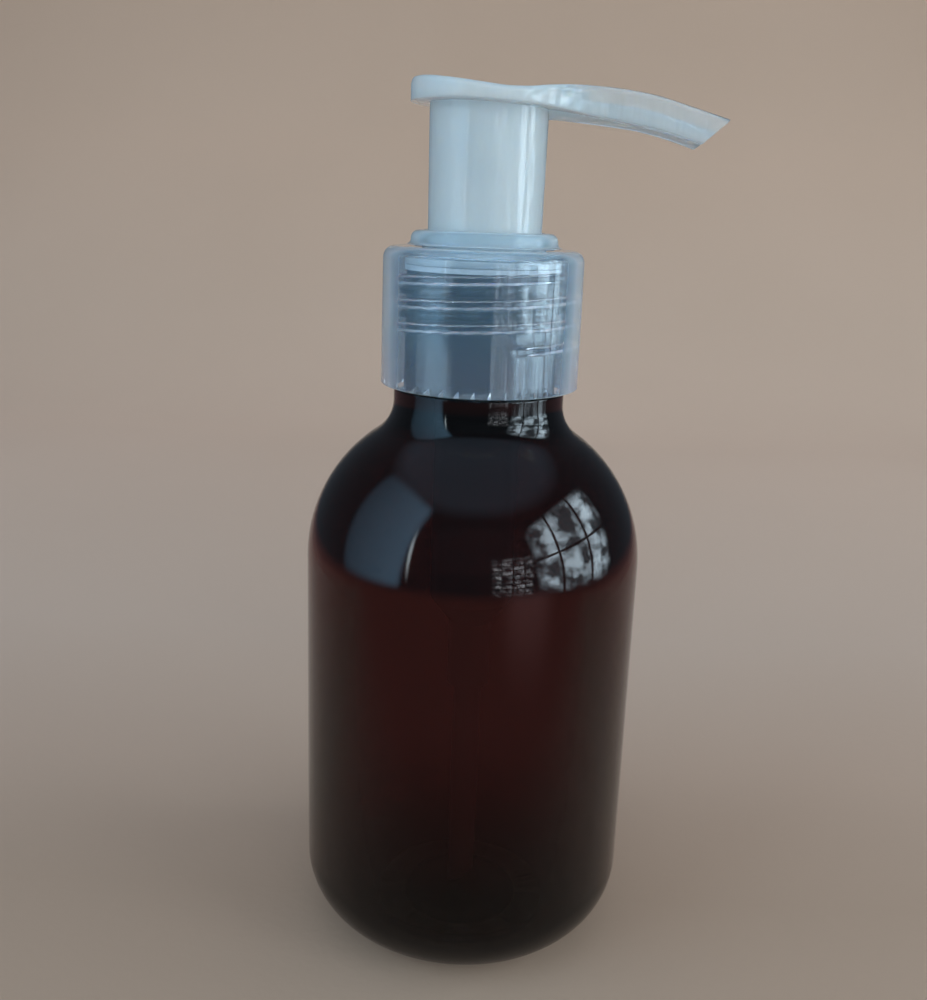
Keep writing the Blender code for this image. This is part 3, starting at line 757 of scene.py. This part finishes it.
def build_head(mat):
    xs = [-PAD_R * math.cos(math.radians(a)) for a in range(3, 90, 4)]
    x = 0.6
    while x < HEAD_LAST_X:
        xs.append(x)
        x += HEAD_STEP
    head = sweep("press_head", [head_section(x) for x in xs])
    path = smooth_path(CHANNEL_PATH, 5)
    apply_boolean(head, sweep("channel", tube_rings(path, CHANNEL_OUT, 40)), "UNION")
    inner_low = SLEEVE_R_LOW - SLEEVE_WALL
    inner_high = SLEEVE_R_HIGH - SLEEVE_WALL
    sleeve_top = HEAD_ROOT_Z - 0.2
    sleeve = lathe("sleeve", [
        (inner_low, SLEEVE_BOTTOM + 0.1), (inner_low + 0.1, SLEEVE_BOTTOM),
        (SLEEVE_R_LOW - 0.2, SLEEVE_BOTTOM), (SLEEVE_R_LOW, SLEEVE_BOTTOM + 0.2),
        (SLEEVE_R_HIGH, sleeve_top), (inner_high, sleeve_top),
    ], 128)
    apply_boolean(head, sleeve, "UNION")
    socket = lathe("socket", [
        (0.0, HEAD_SOCKET_BOTTOM), (HEAD_SOCKET_OUT - 0.2, HEAD_SOCKET_BOTTOM),
        (HEAD_SOCKET_OUT, HEAD_SOCKET_BOTTOM + 0.2), (HEAD_SOCKET_OUT, HEAD_ROOT_Z), (0.0, HEAD_ROOT_Z),
    ], SMALL)
    apply_boolean(head, socket, "UNION")
    bore = lathe("bore", [
        (0.0, HEAD_SOCKET_BOTTOM - 1.0), (HEAD_SOCKET_IN, HEAD_SOCKET_BOTTOM - 1.0),
        (HEAD_SOCKET_IN, STEM_TOP + 0.15), (STEM_IN, STEM_TOP + 0.15),
        (STEM_IN, STEM_BORE_TOP), (0.0, STEM_BORE_TOP + 0.7),
    ], SMALL)
    apply_boolean(head, bore, "DIFFERENCE")
    way_out = smooth_path([(-0.6, 141.6), *CHANNEL_PATH, (41.0, 136.9)], 5)
    apply_boolean(head, sweep("way", tube_rings(way_out, CHANNEL_IN, 32)), "DIFFERENCE")
    apply_boolean(head, end_cutter(), "DIFFERENCE")
    head.data.shade_smooth()
    head.data.set_sharp_from_angle(angle=math.radians(32))
    return finish_piece(head, mat, "head", "natural", "head")


def end_cutter():
    """Block whose face is the slanting end of the spout."""
    (px, pz), (nx, nz) = END_POINT, END_NORMAL
    reach, depth, side = 14.0, 9.0, 8.0
    near = [(px + s * reach * nz, pz - s * reach * nx) for s in (1, -1)]
    far = [(x + depth * nx, z + depth * nz) for x, z in reversed(near)]
    return sweep("end_cut", [[(x, y, z) for x, z in near + far] for y in (-side, side)])


# ---- inner pump ---------------------------------------------------------------
def circle(cx, cy, radius, count):
    turn = 2 * math.pi / count
    return [(cx + radius * math.cos(turn * i), cy + radius * math.sin(turn * i)) for i in range(count)]


def reshade(obj):
    obj.data.shade_smooth()
    obj.data.set_sharp_from_angle(angle=math.radians(35))


def build_gasket(mat):
    low, high = foot_of("gasket"), top_of("gasket")
    loop = [(GASKET_IN, low), (GASKET_OUT, low), (GASKET_OUT, high), (GASKET_IN, high)]
    finish_piece(lathe("gasket_ring", loop), mat, "pump", "foam", "gasket")


def build_housing(mat):
    """Flange, wide well, pump cylinder, ball seat and dip tube socket in one moulding."""
    low, high = FLANGE_Z
    seat_top = SEAT_APEX + CAGE_R
    seat_low = SEAT_APEX + SEAT_HOLE_R
    loop = [(FLANGE_OUT, low), (FLANGE_OUT, high)]
    loop += arc(WELL_IN + 0.2, high - 0.2, 0.2, 90, 180, 3)
    loop += arc(WELL_IN - 0.6, WELL_FLOOR + 0.6, 0.6, 0, -90, 5)
    loop += arc(CYL_IN + 0.5, WELL_FLOOR - 0.5, 0.5, 90, 180, 4)
    loop += [
        (CYL_IN, CYL_FLOOR), (CAGE_R, CYL_FLOOR), (CAGE_R, seat_top), (SEAT_HOLE_R, seat_low),
        (SEAT_HOLE_R, seat_low - 0.8), (SOCKET_IN, seat_low - 1.2), (SOCKET_IN, SOCKET_BOTTOM),
        (SOCKET_OUT - 0.4, SOCKET_BOTTOM), (SOCKET_OUT, SOCKET_BOTTOM + 0.4),
        (SOCKET_OUT, seat_low - 0.4), (CYL_OUT - 1.6, CYL_FLOOR - 2.4), (CYL_OUT, CYL_FLOOR - 0.4),
        (CYL_OUT, WELL_FLOOR - 2.2), (WELL_OUT, WELL_FLOOR - 0.2), (WELL_OUT, low),
    ]
    finish_piece(lathe("pump_housing", loop, 96), mat, "pump", "natural", "housing")


def build_dip_tube(mat):
    loop = [(TUBE_IN, TUBE_BOTTOM), (TUBE_OUT, TUBE_BOTTOM), (TUBE_OUT, TUBE_TOP), (TUBE_IN, TUBE_TOP)]
    tube = lathe("oil_tube", loop, SMALL)
    side, low = TUBE_OUT + 1.0, TUBE_BOTTOM - 1.0
    wedge = [
        [(-side, y, low), (side, y, low), (side, y, TUBE_BOTTOM + TUBE_CUT_RISE)] for y in (-side, side)
    ]
    apply_boolean(tube, sweep("tube_end_cut", wedge), "DIFFERENCE")
    reshade(tube)
    finish_piece(tube, mat, "pump", "natural", "dip_tube")


def build_retainer(mat):
    """Slotted disc that keeps the inlet ball in its chamber and carries the spring."""
    low, high = RETAINER_Z
    seat = high - RETAINER_STEP
    loop = [
        (RETAINER_HOLE_R, low), (RETAINER_R, low), (RETAINER_R, high), (RETAINER_RIM_R, high),
        (RETAINER_RIM_R, seat), (RETAINER_HOLE_R, seat),
    ]
    disc = lathe("ball_retainer_disc", loop, SMALL)
    for k in range(4):
        a = math.radians(45 + 90 * k)
        slot = circle(RETAINER_SLOT_AT * math.cos(a), RETAINER_SLOT_AT * math.sin(a), RETAINER_SLOT_R, 24)
        rings = [[(x, y, z) for x, y in slot] for z in (low - 1.0, high + 1.0)]
        apply_boolean(disc, sweep("retainer_hole", rings), "DIFFERENCE")
    reshade(disc)
    finish_piece(disc, mat, "pump", "white", "ball_retainer")


def build_stem(mat):
    loop = [(STEM_IN, STEM_BOTTOM), (STEM_OUT, STEM_BOTTOM), (STEM_OUT, STEM_TOP), (STEM_IN, STEM_TOP)]
    stem = lathe("stem_tube", loop, SMALL)
    port = circle(0.0, PORT_Z, PORT_R, 32)
    rings = [[(x, y, z) for y, z in port] for x in (-STEM_OUT - 1.0, STEM_OUT + 1.0)]
    apply_boolean(stem, sweep("stem_ports", rings), "DIFFERENCE")
    reshade(stem)
    finish_piece(stem, mat, "stem", "white", "stem")


def build_piston(mat):
    """Ring with a thin lip at each end that wipes the pump cylinder."""
    low, high = foot_of("piston"), top_of("piston")
    mid = (low + high) / 2
    half = [
        (PISTON_IN, low), (PISTON_HUB_R, low), (PISTON_WEB_R, low + PISTON_GROOVE),
        (PISTON_R - 0.5, low + 0.1), (PISTON_R, low), (PISTON_R, low + PISTON_LIP),
        (PISTON_WAIST_R, mid - 0.5),
    ]
    loop = half + [(r, low + high - z) for r, z in reversed(half)]
    finish_piece(lathe("piston_ring", loop, 96), mat, "piston", "white", "piston")


def build_piston_seat(mat):
    """Plug in the foot of the stem; its flange closes the piston and rides on the spring."""
    low, high = SEAT_FLANGE_Z
    plug_r = STEM_IN - 0.15
    plug_top = PORT_Z - PORT_R - 0.1
    loop = [(0.0, low), (SEAT_FLANGE_R, low)]
    loop += arc(SEAT_FLANGE_R - 0.3, high - 0.3, 0.3, 0, 90, 4)
    loop += [(plug_r, high), (plug_r, plug_top - 0.4), (plug_r - 0.4, plug_top), (0.0, plug_top)]
    finish_piece(lathe("piston_plug", loop, SMALL), mat, "stem", "white", "piston_seat")


def build_spring(mat):
    """Coil spring with a closed turn at each end, built at its rest length on a mesh of its own. The real
    spring shortens as the head is pressed.
    """
    low = RETAINER_Z[1] - RETAINER_STEP + SPRING_WIRE_R + SPRING_GAP
    high = SEAT_FLANGE_Z[0] - SPRING_WIRE_R - SPRING_GAP
    per_turn, count = 48, 12
    turns = SPRING_COILS + 2
    dead = 2 * SPRING_WIRE_R + SPRING_GAP
    rings = []
    for i in range(turns * per_turn + 1):
        t = i / per_turn
        if t < 1:
            z = low + dead * t
        elif t > turns - 1:
            z = high - dead * (turns - t)
        else:
            z = low + dead + (high - low - 2 * dead) * (t - 1) / SPRING_COILS
        a = 2 * math.pi * t
        wire = circle(SPRING_R, z, SPRING_WIRE_R, count)
        rings.append([(r * math.cos(a), r * math.sin(a), height) for r, height in wire])
    spring = finish_piece(sweep("return_spring", rings), mat, "pump", "steel", "spring")
    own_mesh(spring)


def build_ball(mat):
    centre = SEAT_APEX + (BALL_R + BALL_CLEARANCE) * math.sqrt(2)
    loop = arc(0.0, centre, BALL_R, -90, 90, 24)
    loop[0] = (0.0, centre - BALL_R)
    loop[-1] = (0.0, centre + BALL_R)
    finish_piece(lathe("valve_ball", loop, 48), mat, "inlet_ball", "steel", "inlet_ball")


# ---- surroundings ---------------------------------------------------------------
FLOOR_HALF = 900.0
SWEEP_START = 420.0       # where the floor begins to curve up behind the bottle
SWEEP_R = 380.0
SWEEP_TOP = 1100.0
COOL = (0.72, 0.88, 1.0)
WASH_TARGET = (0.0, 0.78, 0.22)      # metres, on the backdrop behind the bottle
LIGHTS_CENTRE = (0.0, 0.0, 0.08)     # metres, the point that the lights stand round


def build_backdrop(mat):
    """Floor that sweeps up into a backdrop behind the bottle."""
    line = [(-FLOOR_HALF, 0.0), (SWEEP_START, 0.0)]
    for i in range(1, 25):
        a = math.radians(90 * i / 24)
        line.append((SWEEP_START + SWEEP_R * math.sin(a), SWEEP_R * (1 - math.cos(a))))
    line.append((SWEEP_START + SWEEP_R, SWEEP_TOP))
    points = []
    for x in (-FLOOR_HALF, FLOOR_HALF):
        points += [(x, y, z) for y, z in line]
    count = len(line)
    faces = [(i, i + 1, count + i + 1, count + i) for i in range(count - 1)]
    sheet = make_object("backdrop", points, faces, 60)
    sheet.data.materials.append(mat)


def brighter_towards(darkest):
    """A soft box that is dimmer at its far side."""
    def pattern(tree, place):
        split = tree.nodes.new("ShaderNodeSeparateXYZ")
        tree.links.new(place, split.inputs[0])
        across = tree.nodes.new("ShaderNodeMapRange")
        across.inputs["To Min"].default_value = darkest
        tree.links.new(split.outputs["X"], across.inputs["Value"])
        return across.outputs["Result"]
    return pattern


def panes(columns, rows, bar, dimmest, clutter=None):
    """Window panes of uneven brightness with dark bars between them, over the area of a light.

    Clutter is the scale of the uneven view behind them.
    """
    def pattern(tree, place):
        brick = tree.nodes.new("ShaderNodeTexBrick")
        brick.offset = 0.0
        brick.inputs["Color1"].default_value = (*grey(dimmest), 1.0)
        brick.inputs["Color2"].default_value = (*grey(1.0), 1.0)
        brick.inputs["Mortar"].default_value = (*grey(0.02), 1.0)
        brick.inputs["Scale"].default_value = 1.0
        brick.inputs["Mortar Size"].default_value = bar
        brick.inputs["Mortar Smooth"].default_value = 0.6
        brick.inputs["Brick Width"].default_value = 1.0 / columns
        brick.inputs["Row Height"].default_value = 1.0 / rows
        tree.links.new(place, brick.inputs["Vector"])
        if not clutter:
            return brick.outputs["Color"]
        view = tree.nodes.new("ShaderNodeTexNoise")
        view.inputs["Scale"].default_value = clutter
        view.inputs["Detail"].default_value = 5.0
        view.inputs["Roughness"].default_value = 0.55
        tree.links.new(place, view.inputs["Vector"])
        patches = tree.nodes.new("ShaderNodeMapRange")
        patches.interpolation_type = "SMOOTHSTEP"
        patches.inputs["From Min"].default_value = 0.40
        patches.inputs["From Max"].default_value = 0.62
        patches.inputs["To Min"].default_value = 0.06
        tree.links.new(view.outputs["Fac"], patches.inputs["Value"])
        seen = tree.nodes.new("ShaderNodeMath")
        seen.operation = "MULTIPLY"
        tree.links.new(brick.outputs["Color"], seen.inputs[0])
        tree.links.new(patches.outputs["Result"], seen.inputs[1])
        return seen.outputs[0]
    return pattern


def soften_edges(light, width, pattern):
    """Fades a soft box towards its edges over this share of its width."""
    light.use_nodes = True
    tree = light.node_tree
    place = tree.nodes.new("ShaderNodeNewGeometry").outputs["Parametric"]
    split = tree.nodes.new("ShaderNodeSeparateXYZ")
    tree.links.new(place, split.inputs[0])
    strength = pattern(tree, place) if pattern else None
    for axis in ("X", "Y"):
        centred = tree.nodes.new("ShaderNodeMath")
        centred.operation = "PINGPONG"
        centred.inputs[1].default_value = 0.5
        tree.links.new(split.outputs[axis], centred.inputs[0])
        fade = tree.nodes.new("ShaderNodeMapRange")
        fade.interpolation_type = "SMOOTHSTEP"
        fade.inputs["From Max"].default_value = width
        tree.links.new(centred.outputs[0], fade.inputs["Value"])
        if strength is None:
            strength = fade.outputs["Result"]
            continue
        both = tree.nodes.new("ShaderNodeMath")
        both.operation = "MULTIPLY"
        tree.links.new(strength, both.inputs[0])
        tree.links.new(fade.outputs["Result"], both.inputs[1])
        strength = both.outputs[0]
    tree.links.new(strength, tree.nodes["Emission"].inputs["Strength"])


def area_light(name, azimuth, elevation, distance, size, radiance, colour,
               glossy=True, soft=0.0, pattern=None):
    """A soft box seen from the bottle at these angles, with its distance and size in metres.

    Azimuth 0 is in front and 90 to the right. A light that isn't glossy leaves no reflection.
    """
    width, height = size
    light = bpy.data.lights.new(name, "AREA")
    light.shape = "RECTANGLE"
    light.size, light.size_y = width, height
    light.energy = radiance * math.pi * width * height
    light.color = colour
    obj = bpy.data.objects.new(name, light)
    bpy.context.scene.collection.objects.link(obj)
    a, e = math.radians(azimuth), math.radians(elevation)
    away = Vector((math.sin(a) * math.cos(e), -math.cos(a) * math.cos(e), math.sin(e)))
    obj.location = Vector(LIGHTS_CENTRE) + away * distance
    obj.rotation_euler = away.to_track_quat("Z", "Y").to_euler()
    obj.visible_glossy = glossy
    obj.visible_camera = False
    if soft:
        soften_edges(light, soft, pattern)
    return obj


def build_world():
    """A dim room, told by height: a brown table top below, darkness at eye level, a cool ceiling."""
    world = bpy.data.worlds.new("room")
    world.use_nodes = True
    tree = world.node_tree
    coords = tree.nodes.new("ShaderNodeTexCoord")
    split = tree.nodes.new("ShaderNodeSeparateXYZ")
    height = tree.nodes.new("ShaderNodeMapRange")
    height.inputs["From Min"].default_value = -1.0
    ramp = tree.nodes.new("ShaderNodeValToRGB")
    near_floor, dark = (0.07, 0.055, 0.05, 1.0), (0.065, 0.075, 0.092, 1.0)
    table, ceiling = (0.33, 0.125, 0.115, 1.0), (0.20, 0.27, 0.36, 1.0)
    ends = ramp.color_ramp.elements
    ends[0].position, ends[0].color = 0.20, near_floor
    ends[1].position, ends[1].color = 0.91, ceiling
    for place, colour in ((0.27, table), (0.37, table), (0.44, dark), (0.85, dark)):
        ends.new(place).color = colour
    tree.links.new(coords.outputs["Generated"], split.inputs[0])
    tree.links.new(split.outputs["Z"], height.inputs["Value"])
    tree.links.new(height.outputs["Result"], ramp.inputs["Fac"])
    tree.links.new(ramp.outputs["Color"], tree.nodes["Background"].inputs["Color"])
    bpy.context.scene.world = world


def build_lights():
    build_world()
    area_light("overhead", 0, 72, 0.95, size=(1.2, 1.0), radiance=0.25, colour=COOL, glossy=False)
    area_light("front_fill", 5, 22, 1.0, size=(1.2, 0.6), radiance=1.85, colour=COOL, glossy=False)
    area_light("left_fill", -62, 20, 0.9, size=(0.8, 0.8), radiance=1.4, colour=COOL, glossy=False)
    area_light("right_fill", 70, 12, 0.9, size=(0.8, 0.8), radiance=1.0, colour=COOL, glossy=False)
    area_light("left_panel", -70, 20, 0.75, size=(0.80, 1.0), radiance=1.6, colour=(0.34, 0.68, 1.0),
               soft=0.14, pattern=brighter_towards(0.15))
    area_light("left_strip", -42, 13, 0.75, size=(0.05, 0.55), radiance=5.0, colour=(0.80, 0.95, 1.0),
               soft=0.5)
    area_light("window", 74, 14, 0.8, size=(1.05, 0.80), radiance=10.5, colour=(0.70, 0.88, 1.0),
               soft=0.20, pattern=panes(3, 2, bar=0.02, dimmest=0.6, clutter=4.6))
    area_light("shelves", 27, 3, 0.8, size=(0.42, 0.40), radiance=3.6, colour=(0.86, 0.93, 1.0),
               soft=0.12, pattern=panes(4, 9, bar=0.02, dimmest=0.2, clutter=8.0))
    area_light("low_wall", 38, -16, 0.8, size=(0.60, 0.34), radiance=0.30, colour=(1.0, 0.56, 0.58),
               soft=0.4)
    wash = area_light("backdrop_wash", 180, 62, 0.62, size=(1.3, 0.25), radiance=1.3,
                      colour=(0.80, 0.90, 1.0), glossy=False)
    aim = wash.location - Vector(WASH_TARGET)
    wash.rotation_euler = aim.to_track_quat("Z", "Y").to_euler()


def build_camera():
    """The photograph's own view, a little above the shoulder and close to the bottle."""
    place = Vector((-0.02, -178.27, 126.90)) * MM
    pitch, yaw, roll = math.radians(15.22), math.radians(-0.605), math.radians(2.043)
    forward = Vector((math.sin(yaw) * math.cos(pitch), math.cos(yaw) * math.cos(pitch), -math.sin(pitch)))
    right = Vector((math.cos(yaw), -math.sin(yaw), 0.0))
    up = right.cross(forward)
    right, up = (
        math.cos(roll) * right + math.sin(roll) * up,
        -math.sin(roll) * right + math.cos(roll) * up,
    )
    data = bpy.data.cameras.new("camera")
    data.sensor_width = 36.0
    data.lens = 38.34
    data.clip_start = 0.01
    data.clip_end = 10.0
    camera = bpy.data.objects.new("camera", data)
    bpy.context.scene.collection.objects.link(camera)
    turn = Matrix((right, up, -forward)).transposed().to_4x4()
    camera.matrix_world = Matrix.Translation(place) @ turn
    bpy.context.scene.camera = camera


def main():
    cap_plastic = natural_material(
        "natural_closure", (haze_by_angle, 0.08, 0.37), haze_colour=(0.46, 0.73, 0.98),
        edge_colour=(0.92, 0.93, 0.94), roughness=0.04, ripple=(150.0, 0.08), lamp_share=0.6)
    collar_plastic = natural_material(
        "natural_collar", (haze_by_angle, 0.22, 0.42), haze_colour=(0.66, 0.84, 0.96),
        edge_colour=(0.80, 0.90, 0.96), roughness=0.06, ripple=(150.0, 0.12), lamp_share=0.5)
    pump_plastic = natural_material(
        "natural_pump", (haze_by_angle, 0.60, 0.75), haze_colour=(0.80, 0.91, 0.97),
        edge_colour=(0.84, 0.93, 0.97), roughness=0.10, ripple=(150.0, 0.08), lamp_share=0.5)
    head_plastic = natural_material(
        "natural_head", (haze_along_spout, 0.50, 0.24), haze_colour=(0.85, 0.96, 1.0),
        edge_colour=(0.88, 0.97, 1.0), roughness=0.04, ripple=(420.0, 0.40), lamp_share=0.3)
    white = white_material()
    steel = steel_material()
    build_bottle(amber_material())
    build_closure(cap_plastic)
    build_collar(collar_plastic)
    build_head(head_plastic)
    build_gasket(foam_material())
    build_housing(pump_plastic)
    build_dip_tube(pump_plastic)
    build_retainer(white)
    build_stem(white)
    build_piston(white)
    build_piston_seat(white)
    build_spring(steel)
    build_ball(steel)
    build_backdrop(paper_material())
    build_lights()
    build_camera()
    bpy.context.scene.view_settings.view_transform = "Standard"


main()
